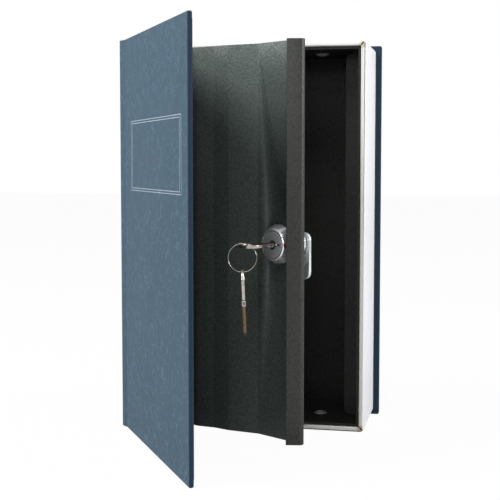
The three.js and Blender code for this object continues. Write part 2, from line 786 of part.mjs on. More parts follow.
const safe = new THREE.Group();
safe.add(piece("back_cover", backCover(), bookcloth));
safe.add(piece("back_endpaper", backEndpaper(), paper));
safe.add(piece("spine", spineBoard(), bookcloth));
safe.add(piece("back_joint_cloth", backJointCloth(), bookcloth));
safe.add(piece("front_joint_cloth", frontJointCloth(), bookcloth));
safe.add(piece("page_strip_head", headStrip(true), pageWhite));
safe.add(piece("page_strip_tail", headStrip(false), pageWhite));
safe.add(piece("page_strip_fore_edge", foreEdgeStrip(), pageWhite));
safe.add(piece("steel_box", steelBox(), hammertone));
safe.add(piece("strike_lip", strikeLip(), hammertone));
safe.add(piece("hinge_box_leaf", boxLeaf(), zincSteel));
safe.add(piece("hinge_rod", hingeRod(), zincSteel));
for (const [side, x] of Object.entries(rivetXs)) {
  for (const top of [true, false]) {
    const mesh = rivet(x, top);
    mesh.name = `rivet_${top ? "head" : "tail"}_${side}`;
    safe.add(mesh);
  }
}

const door = new THREE.Group();
door.position.set(axisX, axisY, 0);
door.rotation.z = -radians(DOOR_OPEN);
door.add(piece("door_panel", doorPanel(), hammertone));
door.add(piece("hinge_door_leaf", doorLeaf(), zincSteel));
door.add(keysAndLock());
safe.add(door);

const cover = new THREE.Group();
cover.position.set(axisX, axisY, 0);
cover.rotation.z = -radians(COVER_OPEN);
cover.add(piece("front_cover", frontCover(), bookcloth));
cover.add(piece("front_endpaper", frontEndpaper(), paper));
safe.add(cover);

export default safe;
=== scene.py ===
import json
import math

import bmesh
import bpy
import numpy as np
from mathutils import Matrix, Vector
from mathutils.geometry import tessellate_polygon


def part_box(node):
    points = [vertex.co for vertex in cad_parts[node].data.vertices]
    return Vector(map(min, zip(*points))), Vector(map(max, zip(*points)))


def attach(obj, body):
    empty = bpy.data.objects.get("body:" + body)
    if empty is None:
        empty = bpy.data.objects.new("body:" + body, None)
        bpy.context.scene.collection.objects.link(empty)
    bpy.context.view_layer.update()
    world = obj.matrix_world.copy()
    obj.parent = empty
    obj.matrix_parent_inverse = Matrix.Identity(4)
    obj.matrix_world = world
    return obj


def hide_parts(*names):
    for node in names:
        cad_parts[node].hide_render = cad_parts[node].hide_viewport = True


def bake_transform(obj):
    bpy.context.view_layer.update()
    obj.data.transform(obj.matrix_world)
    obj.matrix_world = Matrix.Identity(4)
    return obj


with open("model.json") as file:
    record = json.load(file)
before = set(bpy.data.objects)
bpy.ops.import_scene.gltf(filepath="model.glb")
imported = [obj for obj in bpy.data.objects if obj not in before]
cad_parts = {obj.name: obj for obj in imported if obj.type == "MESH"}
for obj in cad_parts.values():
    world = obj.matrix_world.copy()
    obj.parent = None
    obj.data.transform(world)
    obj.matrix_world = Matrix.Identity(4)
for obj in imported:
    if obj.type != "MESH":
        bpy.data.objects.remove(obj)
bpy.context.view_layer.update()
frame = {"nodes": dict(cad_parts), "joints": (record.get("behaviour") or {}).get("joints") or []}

# A book diversion safe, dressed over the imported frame, in metres. X runs from the spine to the fore edge, Y
# from the front cover to the back cover, Z up. The steel door and the front cover turn on one hinge rod.
MM = 0.001
MERGE_DISTANCE = 0.0001 * MM

# Camera, fitted to the corners of the boards, the page block and the door; angles in degrees
EYE = (111.80 * MM, -562.78 * MM, 123.56 * MM)
LOOK_LEFT = 12.31
LOOK_DOWN = 4.3
LENS = 82.99
SENSOR = 36.0
CLIP_START = 10 * MM

# Studio, in metres and watts
PAPER_REACH = 4.0
PAPER_DROP = 0.02 * MM
PAPER_GLOW = 0.97
SURROUND_LIGHT = 0.03
SURROUND_MIRRORED = 0.6
SOFTBOX_SIZE = 0.5
SOFTBOX_AIM = (0, -0.08, 0.09)
SOFTBOXES = (
    ("left_softbox", (-0.78, -0.63, 1.05), 18.0),
    ("low_left_softbox", (-1.23, -0.41, 0.55), 7.5),
    ("high_front_softbox", (0.19, -0.83, 1.2), 4.5),
    ("low_front_softbox", (0.0, -1.35, 0.55), 2.0),
    ("right_softbox", (1.26, -0.19, 0.55), 13.5),
)

# Cloth case; the rules' edges are along and in height, and the inner rule's inset is in the same order
BOARD_ARRIS = 0.65 * MM
BOARD_CORNER = 1 * MM
BOARD_HINGE_CORNER = 0.4 * MM
PAPER_ARRIS = 0.1 * MM
SPINE_ARRIS = 0.6 * MM
SHOULDER_REACH = 0.2 * MM
JOINT_CLOTH = 0.8 * MM
JOINT_ARRIS = 0.24 * MM
JOINT_GAP = 0.05 * MM
JOINT_OUT = 7.0 * MM
JOINT_BULGE = 2.6 * MM
JOINT_END_GAP = 0.3 * MM
GROOVE_DEPTH = 0.1 * MM
RULE_HEIGHT = 0.04 * MM
RULE_WIDTH = 0.35 * MM
RULE_EDGES = (15.5 * MM, 101.0 * MM, 111.4 * MM, 142.4 * MM)
INNER_RULE = (2.2 * MM, 1.05 * MM)

# Page strips
STRIP_ARRIS = 0.45 * MM
STRIP_CORNER = 0.15 * MM
STRIP_DRAFT = 0.85 * MM

# Steel door, bent from one sheet: where it creases, how deep it lies there, and how round each bend is
DOOR_SHEET = 1.2 * MM
CREASES = (
    (46 * MM, 0, 8 * MM),
    (54 * MM, 3.2 * MM, 6 * MM),
    (62 * MM, 4.3 * MM, 3 * MM),
    (75.5 * MM, 9.2 * MM, 1.6 * MM),
)
LIP_LEAN = math.radians(43)
LIP_FLAT = 5.4 * MM
LIP_BEND = 0.8 * MM
LIP_SHADE_START = 95 * MM
LIP_SHADE_WIDTH = 2 * MM
SHEET_ARRIS = 0.28 * MM

# Rivets
RIVET_CROWN = 1.1 * MM
RIVET_RIM = 0.05 * MM
RIVET_SHANK = 1.3 * MM
RIVET_ROUNDNESS = 2.4

# Lock
BARREL_RADIUS = 6.3 * MM
BARREL_CLEARANCE = 0.3 * MM
BARREL_ROUND = 0.2 * MM
HOLE_OVERRUN = 2 * MM
BEZEL_SEAT = 0.3 * MM
BEZEL_LIP_RADIUS = 6.3 * MM
BEZEL_EDGE = 0.5 * MM
BEZEL_CHAMFER = 0.35 * MM
BEZEL_FOOT_ROUND = 0.15 * MM
BEZEL_RIM_ROUND = 0.25 * MM
BEZEL_CONE_ROUND = 0.2 * MM
BEZEL_LIP_ROUND = 0.12 * MM
RECESS_ROUND = 0.1 * MM
PLUG_FACE_THICKNESS = 1.5 * MM
PLUG_FACE_ARRIS = 0.14 * MM
PLUG_FACE_CLEARANCE = 0.12 * MM
PLUG_BACK_CLEARANCE = 0.3 * MM
PLUG_BODY_RADIUS = 4.2 * MM
PLUG_BODY_CLEARANCE = 0.1 * MM
PLUG_BORE = 2.65 * MM
KEY_TIP_CLEARANCE = 0.4 * MM
BORE_FLOOR = 1 * MM
KEYWAY_REACH = 2.5 * MM
KEYWAY_HALF = 0.85 * MM
KEYWAY_SLIT = 4.9 * MM
SLIT_HALF = 0.4 * MM
KEYWAY_EYE = 1.9 * MM
BOSS_RADIUS = 2.6 * MM
SCREW_HOLE = 1.5 * MM
CAM_ARRIS = 0.55 * MM
CAM_CORNER = 3.2 * MM

# Keys and ring, along a key from its bow's end; a cut has its place and its depth, a rib its two sides
KEY_ARRIS = 0.25 * MM
BOW_RADIUS = 5.2 * MM
BOW_RIM = 1.3 * MM
BOW_HOLE = 2.9 * MM
BOW_LENGTH = 13 * MM
NECK_HALF = 3.7 * MM
NECK_CORNER = 0.6 * MM
COLLAR_HALF = 3.2 * MM
COLLAR_LENGTH = 2.7 * MM
COLLAR_CORNER = 0.3 * MM
BAND_INSET = 0.35 * MM
BAND_CORNER = 0.25 * MM
BAND_RISE = 0.12 * MM
BLADE_HALF = 2.3 * MM
BLADE_TIP = 1.6 * MM
BLADE_IN_COLLAR = 0.5 * MM
CORE_HALF = 0.4 * MM
CORE_ARRIS = 0.08 * MM
CORE_CORNER = 0.12 * MM
CUTS = ((17.6 * MM, 0.5 * MM), (19.9 * MM, 1.1 * MM), (22.2 * MM, 0.7 * MM), (24.5 * MM, 1.0 * MM))
CUT_FLOOR = 0.2 * MM
RIBS = ((-2.2 * MM, -1.2 * MM), (-0.6 * MM, 0.9 * MM))
RIB_CORNER = 0.2 * MM
RIB_SUNK = 0.05 * MM
RIB_ARRIS = 0.1 * MM
RIB_SHORT = 1.4 * MM
RING_OVERLAP = math.radians(55)
RING_CROSSING = 6
RING_SPREAD = 1.02

# Patterns of the finishes, at real sizes; only the thread and the leaves are drawn coarser, to show
THREAD = 0.45 * MM
THREAD_HEIGHT = 0.12 * MM
STROKE_CELL = 4.2 * MM
STROKE_SHARE = 0.075
STROKE_BREAK = 5 * MM
STROKE_DEPTH = 0.1 * MM
STROKE_DRIFT = 3.846 * MM
STROKE_WANDER = 3.5 * MM
# The back board's inner margin and the front board's free edge keep the plain deep blue, without the painted
# sheen
UNSHEENED_MARGIN_DEPTH = 0.25 * MM
UNSHEENED_EDGE_SPAN = (0.7 * MM, 0.3 * MM)
FOIL_WEAR = 0.8 * MM
PAPER_FIBRE = 0.9 * MM
FIBRE_HEIGHT = 0.05 * MM
LEAF_PITCH = 0.45 * MM
LEAF_RUN = 125 * MM
LEAF_HEIGHT = 0.15 * MM
RIM_DEPTH = 0.9 * MM
GLUE_INSET = 1.2 * MM
GLUE_SPREAD = (0.6 * MM, 2.2 * MM)
DIMPLE = 0.95 * MM
DIMPLE_DRIFT = 2.2 * MM
DIMPLE_WANDER = 0.9 * MM
DIMPLE_HEIGHT = 0.1 * MM
ENAMEL_DEPTH = 0.7 * MM

# Sockets of a colour mix, whose names its other data types share
SHARE, COLOUR_A, COLOUR_B, MIXED = 0, 6, 7, 2

JOINTS = {joint["name"]: joint for joint in frame["joints"]}


def points_of(node):
    """A CAD node's vertices at rest, as rows of x, y and z."""
    mesh = frame["nodes"][node].data
    flat = np.empty(3 * len(mesh.vertices))
    mesh.vertices.foreach_get("co", flat)
    return flat.reshape(-1, 3)


def box_of(node):
    """A CAD node's lowest and highest corner at rest."""
    return [np.array(corner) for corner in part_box(node)]


def unit(vector):
    """A vector scaled to a length of one."""
    return vector / np.linalg.norm(vector, axis=-1, keepdims=True)


rod_low, rod_high = box_of("hinge_rod")
AXIS = ((rod_low + rod_high) / 2)[:2]
DOOR_OPEN = -math.radians(JOINTS["steel_door_hinge"]["range_deg"][0])


def plan_angle(node):
    """How far a board has swung: the angle from X of the longest spread of its points in plan."""
    flat = points_of(node)[:, :2]
    along = np.linalg.svd(flat - flat.mean(0), full_matrices=False)[2][0]
    along = along * np.sign(along[0])
    return -math.atan2(along[1], along[0])


COVER_OPEN = plan_angle("front_cover")


def swung(angle, along, inwards, height):
    """Places on a leaf that has swung by an angle: along and inwards turn about the hinge rod, and height
    stays."""
    cos, sin = math.cos(angle), math.sin(angle)
    x = AXIS[0] + along * cos + inwards * sin
    y = AXIS[1] - along * sin + inwards * cos
    return np.stack(np.broadcast_arrays(x, y, height), axis=-1)


def leaf_box(node, angle):
    """A CAD node's lowest and highest along, inwards and height, on a leaf that has swung by an angle."""
    cos, sin = math.cos(angle), math.sin(angle)
    back = np.array([[cos, sin, 0], [-sin, cos, 0], [0, 0, 1]])
    local = (points_of(node) - [*AXIS, 0]) @ back
    return local.min(0), local.max(0)


def outline(corners, radii, steps=8):
    """A closed line of points through corners. At a corner with a radius, the corner gives way to the arc
    of that radius that touches both of its sides; its centre lies on the line that halves the corner."""
    corners = np.array(corners, float)
    line = []
    for k, radius in enumerate(np.broadcast_to(radii, len(corners))):
        corner = corners[k]
        if radius <= 0:
            line.append(corner[None])
            continue
        back = unit(corners[k - 1] - corner)
        on = unit(corners[(k + 1) % len(corners)] - corner)
        half = math.acos(np.clip(back @ on, -1, 1)) / 2
        centre = corner + unit(back + on) * radius / math.sin(half)
        first = corner + back * radius / math.tan(half) - centre
        last = corner + on * radius / math.tan(half) - centre
        start = math.atan2(first[1], first[0])
        turn = math.remainder(math.atan2(last[1], last[0]) - start, math.tau)
        angles = start + turn * np.linspace(0, 1, steps + 1)
        line.append(centre + radius * np.stack([np.cos(angles), np.sin(angles)], axis=-1))
    return np.concatenate(line)


def rectangle(low, high, radii):
    """An anticlockwise rectangle with rounded corners, from its low-low corner."""
    (a0, b0), (a1, b1) = low, high
    return outline([(a0, b0), (a1, b0), (a1, b1), (a0, b1)], radii)


def circle(radius, centre=(0, 0), sides=48):
    """An anticlockwise circle of points."""
    angles = np.linspace(0, math.tau, sides, endpoint=False)
    return np.array(centre) + radius * np.stack([np.cos(angles), np.sin(angles)], axis=-1)


def grid_faces(rows, columns, wrap_rows=False, wrap_columns=False):
    """The quads between neighbouring points of a grid whose rows or columns may close on themselves."""
    i, j = np.meshgrid(
        np.arange(rows if wrap_rows else rows - 1),
        np.arange(columns if wrap_columns else columns - 1),
        indexing="ij",
    )
    down, right = (i + 1) % rows, (j + 1) % columns
    corners = [i * columns + j, down * columns + j, down * columns + right, i * columns + right]
    return np.stack(corners, axis=-1).reshape(-1, 4)


def plate(loops, low, high, arris, steps=4):
    """A flat plate between two heights, with rounded arrises. The first loop is its edge and runs
    anticlockwise, the others are its holes and run clockwise. Each loop is carried from the low face to the
    high one: inset by arris times (1 - sin t) while it rises by arris times (1 - cos t), for t from 0 to 90
    degrees, and the same in reverse at the high face. Both faces are filled between the inset loops."""
    t = np.linspace(0, math.pi / 2, steps + 1)
    inset = arris * np.concatenate([1 - np.sin(t), 1 - np.sin(t[::-1])])
    rise = arris * (1 - np.cos(t))
    heights = np.concatenate([low + rise, high - rise[::-1]])
    points, faces, lows, highs, start = [], [], [], [], 0
    for loop in loops:
        before = unit(loop - np.roll(loop, 1, axis=0))
        after = unit(np.roll(loop, -1, axis=0) - loop)
        out_before = np.stack([before[:, 1], -before[:, 0]], axis=-1)
        out_after = np.stack([after[:, 1], -after[:, 0]], axis=-1)
        outwards = (out_before + out_after) / (1 + (out_before * out_after).sum(-1, keepdims=True))
        rings = loop - inset[:, None, None] * outwards
        rows, count = rings.shape[:2]
        height = np.broadcast_to(heights[:, None, None], (rows, count, 1))
        points.append(np.concatenate([rings, height], axis=-1).reshape(-1, 3))
        faces.extend((grid_faces(rows, count, wrap_columns=True) + start).tolist())
        lows.append(start + np.arange(count))
        highs.append(start + (rows - 1) * count + np.arange(count))
        start += rows * count
    points = np.concatenate(points)
    for rim in (lows, highs):
        flat = [[Vector((*points[k][:2], 0)) for k in ring] for ring in rim]
        index = np.concatenate(rim)
        faces.extend(index[list(triangle)].tolist() for triangle in tessellate_polygon(flat))
    return points, faces


def turned(profile, sides=64):
    """A closed or pole-to-pole profile of radius and height, turned about the height: radius r and height h
    give r cos t, r sin t and h, for t round the circle."""
    profile = np.array(profile, float)
    t = np.linspace(0, math.tau, sides, endpoint=False)[None]
    radius, height = profile[:, :1], profile[:, 1:]
    grid = np.stack(np.broadcast_arrays(radius * np.cos(t), radius * np.sin(t), height), axis=-1)
    closed = bool(np.allclose(profile[0], profile[-1]))
    rows = len(profile) - closed
    return grid[:rows].reshape(-1, 3), grid_faces(rows, sides, closed, True).tolist()


def tube(path, radius, sides=12):
    """A round tube along an open path, closed at both ends: each ring is cos t times the direction across
    the path in its own plane plus sin t times the direction square to both, times the radius."""
    along = unit(np.gradient(path, axis=0))
    side = unit(np.cross(along, unit(np.linalg.svd(path - path.mean(0))[2][2])))
    other = np.cross(along, side)
    t = np.linspace(0, math.tau, sides, endpoint=False)[None, :, None]
    rings = path[:, None] + radius * (np.cos(t) * side[:, None] + np.sin(t) * other[:, None])
    faces = grid_faces(len(path), sides, wrap_columns=True).tolist()
    ends = [list(range(sides)), list(range((len(path) - 1) * sides, len(path) * sides))]
    return rings.reshape(-1, 3), faces + ends


def joined(*shapes):
    """Several shapes of points and faces as one."""
    points, faces, start = [], [], 0
    for some, their_faces in shapes:
        points.append(some)
        faces.extend([start + k for k in face] for face in their_faces)
        start += len(some)
    return np.concatenate(points), faces


def in_scene(name, data):
    """An object of a mesh, a lamp or a camera, linked into the scene."""
    made = bpy.data.objects.new(name, data)
    bpy.context.scene.collection.objects.link(made)
    return made


def piece(name, shape, place, body, finish, replaces=(), sharp=35):
    """Makes an object of a shape whose three coordinates place() turns into the row frame. Its seams and
    poles are closed and its faces point outwards. Quads are shaded smoothly, filled faces stay flat, and
    edges sharper than an angle stay crisp. It rides on its body, if it has one."""
    points, faces = shape
    mesh = bpy.data.meshes.new(name)
    mesh.from_pydata(place(*np.asarray(points).T).tolist(), [], faces)
    close_and_turn_outwards(mesh)
    sides = np.empty(len(mesh.polygons), np.int32)
    mesh.polygons.foreach_get("loop_total", sides)
    mesh.polygons.foreach_set("use_smooth", sides == 4)
    mesh.set_sharp_from_angle(angle=math.radians(sharp))
    mesh.materials.append(finish)
    made = in_scene(name, mesh)
    if body:
        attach(made, body)
    if replaces:
        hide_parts(*replaces)
    return made


def close_and_turn_outwards(mesh):
    """Merges a mesh's coinciding points and turns its faces outwards."""
    tidied = bmesh.new()
    tidied.from_mesh(mesh)
    bmesh.ops.remove_doubles(tidied, verts=tidied.verts, dist=MERGE_DISTANCE)
    bmesh.ops.recalc_face_normals(tidied, faces=tidied.faces)
    tidied.to_mesh(mesh)
    tidied.free()


def in_row(x, y, z):
    """Points that already lie in the row frame."""
    return np.stack([x, y, z], axis=-1)


def upright(x, z, y):
    """A plate drawn in X and Z, whose thickness lies along Y."""
    return in_row(x, y, z)


def on_door(along, inwards, height):
    """Places on the steel door."""
    return swung(DOOR_OPEN, along, inwards, height)


def on_cover_face(along, height, inwards):
    """A plate drawn on the front cover, whose thickness lies inwards."""
    return swung(COVER_OPEN, along, inwards, height)


def linear(colour):
    """The scene-linear value of an sRGB hex colour, with full alpha."""
    levels = np.array([int(colour[k : k + 2], 16) for k in (1, 3, 5)]) / 255
    values = np.where(levels <= 0.04045, levels / 12.92, ((levels + 0.055) / 1.055) ** 2.4)
    return (*values.tolist(), 1.0)


def node(tree, kind, inputs=(), **settings):
    """Adds a node with its settings; inputs gives each socket a value or the socket that feeds it."""
    made = tree.nodes.new(kind)
    for name, value in settings.items():
        setattr(made, name, value)
    for key, value in dict(inputs).items():
        if isinstance(value, bpy.types.NodeSocket):
            tree.links.new(value, made.inputs[key])
        else:
            made.inputs[key].default_value = value
    return made


def material(name, **sockets):
    """A new material of one Principled shader with plain values on its sockets; gives the material, its
    tree and the shader."""
    made = bpy.data.materials.new(name)
    made.use_nodes = True
    tree = made.node_tree
    shader = tree.nodes["Principled BSDF"]
    for socket, value in sockets.items():
        shader.inputs[socket.replace("_", " ")].default_value = value
    return made, tree, shader


def wandering(tree, place, drift, wander, detail):
    """Places pushed about by a slow noise, so that a pattern laid on them bends: drift is the noise's size
    and wander how far it pushes."""
    noise = node(tree, "ShaderNodeTexNoise", {"Vector": place, "Scale": 1 / drift, "Detail": detail})
    pushed = node(
        tree,
        "ShaderNodeVectorMath",
        {0: noise.outputs["Color"], 1: (wander, wander, wander), 2: place},
        operation="MULTIPLY_ADD",
    )
    return pushed.outputs[0]


def two_tones(tree, shader, size, detail, dark, light):
    """A base colour that goes from a dark to a light tone in soft patches, which are a noise of that size.
    Gives the noise."""
    place = node(tree, "ShaderNodeTexCoord").outputs["Object"]
    noise = node(tree, "ShaderNodeTexNoise", {"Vector": place, "Scale": 1 / size, "Detail": detail})
    colour = node(
        tree,
        "ShaderNodeMix",
        {SHARE: noise.outputs["Fac"], COLOUR_A: linear(dark), COLOUR_B: linear(light)},
        data_type="RGBA",
    )
    tree.links.new(colour.outputs[MIXED], shader.inputs["Base Color"])
    return noise.outputs["Fac"]


def bookcloth():
    """Bookcloth: woven cotton, sized, dyed deep blue and embossed. Its slate blue ground is a painted sheen:
    the deep blue lightened as the cloth looks at a glancing view. It is matt, its threads vary in tone, and
    fine broken strokes are pressed into it at every angle. On the back board's inner margin, which lies in
    shade, and on the front board's free edge, seen full on, it keeps the plain deep blue without the
    painted sheen."""
    made, tree, shader = material("sized_embossed_bookcloth", Roughness=0.7, Specular_IOR_Level=0.22)
    place = node(tree, "ShaderNodeTexCoord").outputs["Object"]
    drifted = wandering(tree, place, STROKE_DRIFT, STROKE_WANDER, 3.0)
    strokes = node(
        tree,
        "ShaderNodeTexVoronoi",
        {"Vector": drifted, "Scale": 1 / STROKE_CELL, "Randomness": 1.0},
        feature="DISTANCE_TO_EDGE",
    )
    stroke = node(
        tree,
        "ShaderNodeMapRange",
        {"Value": strokes.outputs["Distance"], "From Max": STROKE_SHARE, "To Min": 1.0, "To Max": 0.0},
    )
    broken = node(tree, "ShaderNodeTexNoise", {"Vector": place, "Scale": 1 / STROKE_BREAK, "Detail": 2.0})
    shown = node(
        tree,
        "ShaderNodeMapRange",
        {"Value": broken.outputs["Fac"], "From Min": 0.42, "From Max": 0.6},
    )
    mark = node(
        tree,
        "ShaderNodeMath",
        {0: stroke.outputs["Result"], 1: shown.outputs["Result"]},
        operation="MULTIPLY",
    )
    weave = node(tree, "ShaderNodeTexNoise", {"Vector": place, "Scale": 1 / THREAD, "Detail": 1.0})
    threaded = node(
        tree,
        "ShaderNodeMath",
        {0: weave.outputs["Fac"], 1: 2.0, 2: -0.5},
        operation="MULTIPLY_ADD",
    )
    # The slate ground: deep blue cloth with a painted sheen of a glancing view, in two thread tones
    sheened_ground = node(
        tree,
        "ShaderNodeMix",
        {SHARE: threaded.outputs[0], COLOUR_A: linear("#2e4250"), COLOUR_B: linear("#3f5361")},
        data_type="RGBA",
    )
    colour = node(
        tree,
        "ShaderNodeMix",
        {SHARE: mark.outputs[0], COLOUR_A: sheened_ground.outputs[MIXED], COLOUR_B: linear("#495f70")},
        data_type="RGBA",
    )
    split = node(tree, "ShaderNodeSeparateXYZ", {0: place})
    inner_side = box_of("back_cover")[0][1]
    shaded_margin = node(
        tree,
        "ShaderNodeMath",
        {0: split.outputs["Y"], 1: inner_side, 2: UNSHEENED_MARGIN_DEPTH},
        operation="COMPARE",
    )
    towards_edge = (math.cos(COVER_OPEN), -math.sin(COVER_OPEN), 0.0)
    edge = float((points_of("front_cover") @ towards_edge).max())
    outwards = node(tree, "ShaderNodeVectorMath", {0: place, 1: towards_edge}, operation="DOT_PRODUCT")
    full_on_edge = node(
        tree,
        "ShaderNodeMapRange",
        {
            "Value": outwards.outputs["Value"],
            "From Min": edge - UNSHEENED_EDGE_SPAN[0],
            "From Max": edge - UNSHEENED_EDGE_SPAN[1],
        },
    )
    unsheened = node(
        tree,
        "ShaderNodeMath",
        {0: shaded_margin.outputs[0], 1: full_on_edge.outputs["Result"]},
        operation="MAXIMUM",
    )
    # Where the mask holds, the plain deep blue without the painted sheen: the shaded inner margin and the
    # full-on free edge
    cloth_with_painted_sheen = node(
        tree,
        "ShaderNodeMix",
        {SHARE: unsheened.outputs[0], COLOUR_A: colour.outputs[MIXED], COLOUR_B: linear("#182c3e")},
        data_type="RGBA",
    )
    tree.links.new(cloth_with_painted_sheen.outputs[MIXED], shader.inputs["Base Color"])
    threads = node(
        tree,
        "ShaderNodeBump",
        {"Height": weave.outputs["Fac"], "Strength": 0.35, "Distance": THREAD_HEIGHT},
    )
    pressed = node(
        tree,
        "ShaderNodeBump",
        {
            "Height": mark.outputs[0],
            "Strength": 0.35,
            "Distance": STROKE_DEPTH,
            "Normal": threads.outputs[0],
        },
    )
    tree.links.new(pressed.outputs[0], shader.inputs["Normal"])
    return made


def foil():
    """Stamped silver foil: a thin bright film, broken where the cloth's threads stand through it."""
    made, tree, shader = material("stamped_silver_foil", Metallic=0.7, Roughness=0.42)
    two_tones(tree, shader, FOIL_WEAR, 2.0, "#8b9cab", "#c8d2dc")
    return made


def lining_paper():
    """Lining paper: uncoated black paper with a faint fibre, quite matt."""
    made, tree, shader = material("black_lining_paper", Roughness=0.8)
    fibre = two_tones(tree, shader, PAPER_FIBRE, 5.0, "#15181b", "#23282c")
    bump = node(tree, "ShaderNodeBump", {"Height": fibre, "Strength": 0.2, "Distance": FIBRE_HEIGHT})
    tree.links.new(bump.outputs[0], shader.inputs["Normal"])
    return made


def page_plastic():
    """Moulded white styrene, lined on its outer faces like page edges. Its front rim is faintly cream, and
    the glue at the two mitres has yellowed."""
    made, tree, shader = material("lined_white_styrene", Roughness=0.42)
    place = node(tree, "ShaderNodeTexCoord").outputs["Object"]
    split = node(tree, "ShaderNodeSeparateXYZ", {0: place})
    low, high = box_of("page_strip_fore_edge")
    rim = node(
        tree,
        "ShaderNodeMapRange",
        {
            "Value": split.outputs["Y"],
            "From Min": low[1],
            "From Max": low[1] + RIM_DEPTH,
            "To Min": 1.0,
            "To Max": 0.0,
        },
    )
    colour = node(
        tree,
        "ShaderNodeMix",
        {SHARE: rim.outputs["Result"], COLOUR_A: linear("#f1f2f6"), COLOUR_B: linear("#e3e2dc")},
        data_type="RGBA",
    )
    for height in (low[2] + GLUE_INSET, high[2] - GLUE_INSET):
        mitre = (high[0] - GLUE_INSET, low[1], height)
        away = node(tree, "ShaderNodeVectorMath", {0: place, 1: mitre}, operation="DISTANCE")
        near = node(
            tree,
            "ShaderNodeMapRange",
            {
                "Value": away.outputs["Value"],
                "From Min": GLUE_SPREAD[0],
                "From Max": GLUE_SPREAD[1],
                "To Min": 0.75,
                "To Max": 0.0,
            },
        )
        colour = node(
            tree,
            "ShaderNodeMix",
            {SHARE: near.outputs["Result"], COLOUR_A: colour.outputs[MIXED], COLOUR_B: linear("#a89366")},
            data_type="RGBA",
        )
    tree.links.new(colour.outputs[MIXED], shader.inputs["Base Color"])
    sheets = node(
        tree,
        "ShaderNodeVectorMath",
        {0: place, 1: (1 / LEAF_RUN, 1 / LEAF_PITCH, 1 / LEAF_RUN)},
        operation="MULTIPLY",
    )
    leaves = node(tree, "ShaderNodeTexNoise", {"Vector": sheets.outputs[0], "Scale": 1.0, "Detail": 2.0})
    bump = node(
        tree,
        "ShaderNodeBump",
        {"Height": leaves.outputs["Fac"], "Strength": 0.45, "Distance": LEAF_HEIGHT},
    )
    tree.links.new(bump.outputs[0], shader.inputs["Normal"])
    return made


def hammertone(name, dark, light, lip=None):
    """Hammertone enamel: a stoved paint with aluminium in it that shrinks into dimples about a millimetre
    across, shiny on their crests and darker in their rings. A lip gives the direction and the place from
    which the coat is darkened towards a third colour: painted shade on the door's folded lip."""
    made, tree, shader = material(
        name, Metallic=0.25, Specular_IOR_Level=0.32, Coat_Weight=0.08, Coat_Roughness=0.22
    )
    place = node(tree, "ShaderNodeTexCoord").outputs["Object"]
    drifted = wandering(tree, place, DIMPLE_DRIFT, DIMPLE_WANDER, 2.0)
    cells = node(
        tree,
        "ShaderNodeTexVoronoi",
        {"Vector": drifted, "Scale": 1 / DIMPLE, "Smoothness": 0.6},
        feature="SMOOTH_F1",
    )
    crest = node(
        tree,
        "ShaderNodeMapRange",
        {
            "Value": cells.outputs["Distance"],
            "From Min": 0.1,
            "From Max": 0.75,
            "To Min": 1.0,
            "To Max": 0.0,
        },
    )
    colour = node(
        tree,
        "ShaderNodeMix",
        {SHARE: crest.outputs["Result"], COLOUR_A: linear(dark), COLOUR_B: linear(light)},
        data_type="RGBA",
    )
    # Painted shade: from the lip's start on, the colour is darkened towards the third colour
    if lip:
        direction, start, shade = lip
        along = node(tree, "ShaderNodeVectorMath", {0: place, 1: direction}, operation="DOT_PRODUCT")
        lip_shade_share = node(
            tree,
            "ShaderNodeMapRange",
            {
                "Value": along.outputs["Value"],
                "From Min": start,
                "From Max": start + LIP_SHADE_WIDTH,
                "To Max": 0.65,
            },
        )
        colour = node(
            tree,
            "ShaderNodeMix",
            {SHARE: lip_shade_share.outputs["Result"], COLOUR_A: colour.outputs[MIXED], COLOUR_B: linear(shade)},
            data_type="RGBA",
        )
    tree.links.new(colour.outputs[MIXED], shader.inputs["Base Color"])
    rough = node(
        tree,
        "ShaderNodeMapRange",
        {"Value": crest.outputs["Result"], "To Min": 0.55, "To Max": 0.4},
    )
    tree.links.new(rough.outputs["Result"], shader.inputs["Roughness"])
    bump = node(
        tree,
        "ShaderNodeBump",
        {"Height": crest.outputs["Result"], "Strength": 0.4, "Distance": DIMPLE_HEIGHT},
    )
    tree.links.new(bump.outputs[0], shader.inputs["Normal"])
    return made


def plated(name, light, dark, roughness, grain, metal=1.0):
    """A plated metal, polished or brushed: two close tones of it in soft patches, and a gloss that varies
    with them. Where the metal share is below one, the rest scatters light as a pale, finely brushed face
    does."""
    made, tree, shader = material(name, Metallic=metal)
    patches = two_tones(tree, shader, grain, 4.0, dark, light)
    gloss = node(
        tree,
        "ShaderNodeMapRange",
        {"Value": patches, "To Min": roughness * 0.9, "To Max": roughness * 1.1},
    )
    tree.links.new(gloss.outputs["Result"], shader.inputs["Roughness"])
    return made


def enamel():
    """Red enamel, dropped into the bezel and stoved: glossy, and darker where it lies deep."""
    made, tree, shader = material("red_drop_enamel", Roughness=0.22)
    two_tones(tree, shader, ENAMEL_DEPTH, 1.0, "#64182a", "#8c2a40")
    return made


CLOTH = bookcloth()
FOIL = foil()
LINING = lining_paper()
STYRENE = page_plastic()
FREE_EDGE = (math.cos(DOOR_OPEN), -math.sin(DOOR_OPEN), 0.0)
LIP_START = FREE_EDGE[0] * AXIS[0] + FREE_EDGE[1] * AXIS[1] + LIP_SHADE_START
# The door's coat, darkened on its folded lip towards dark brown as painted shade
DOOR_COAT = hammertone(
    "charcoal_hammertone_enamel", "#454d4a", "#59625f", (FREE_EDGE, LIP_START, "#1f1510")
)
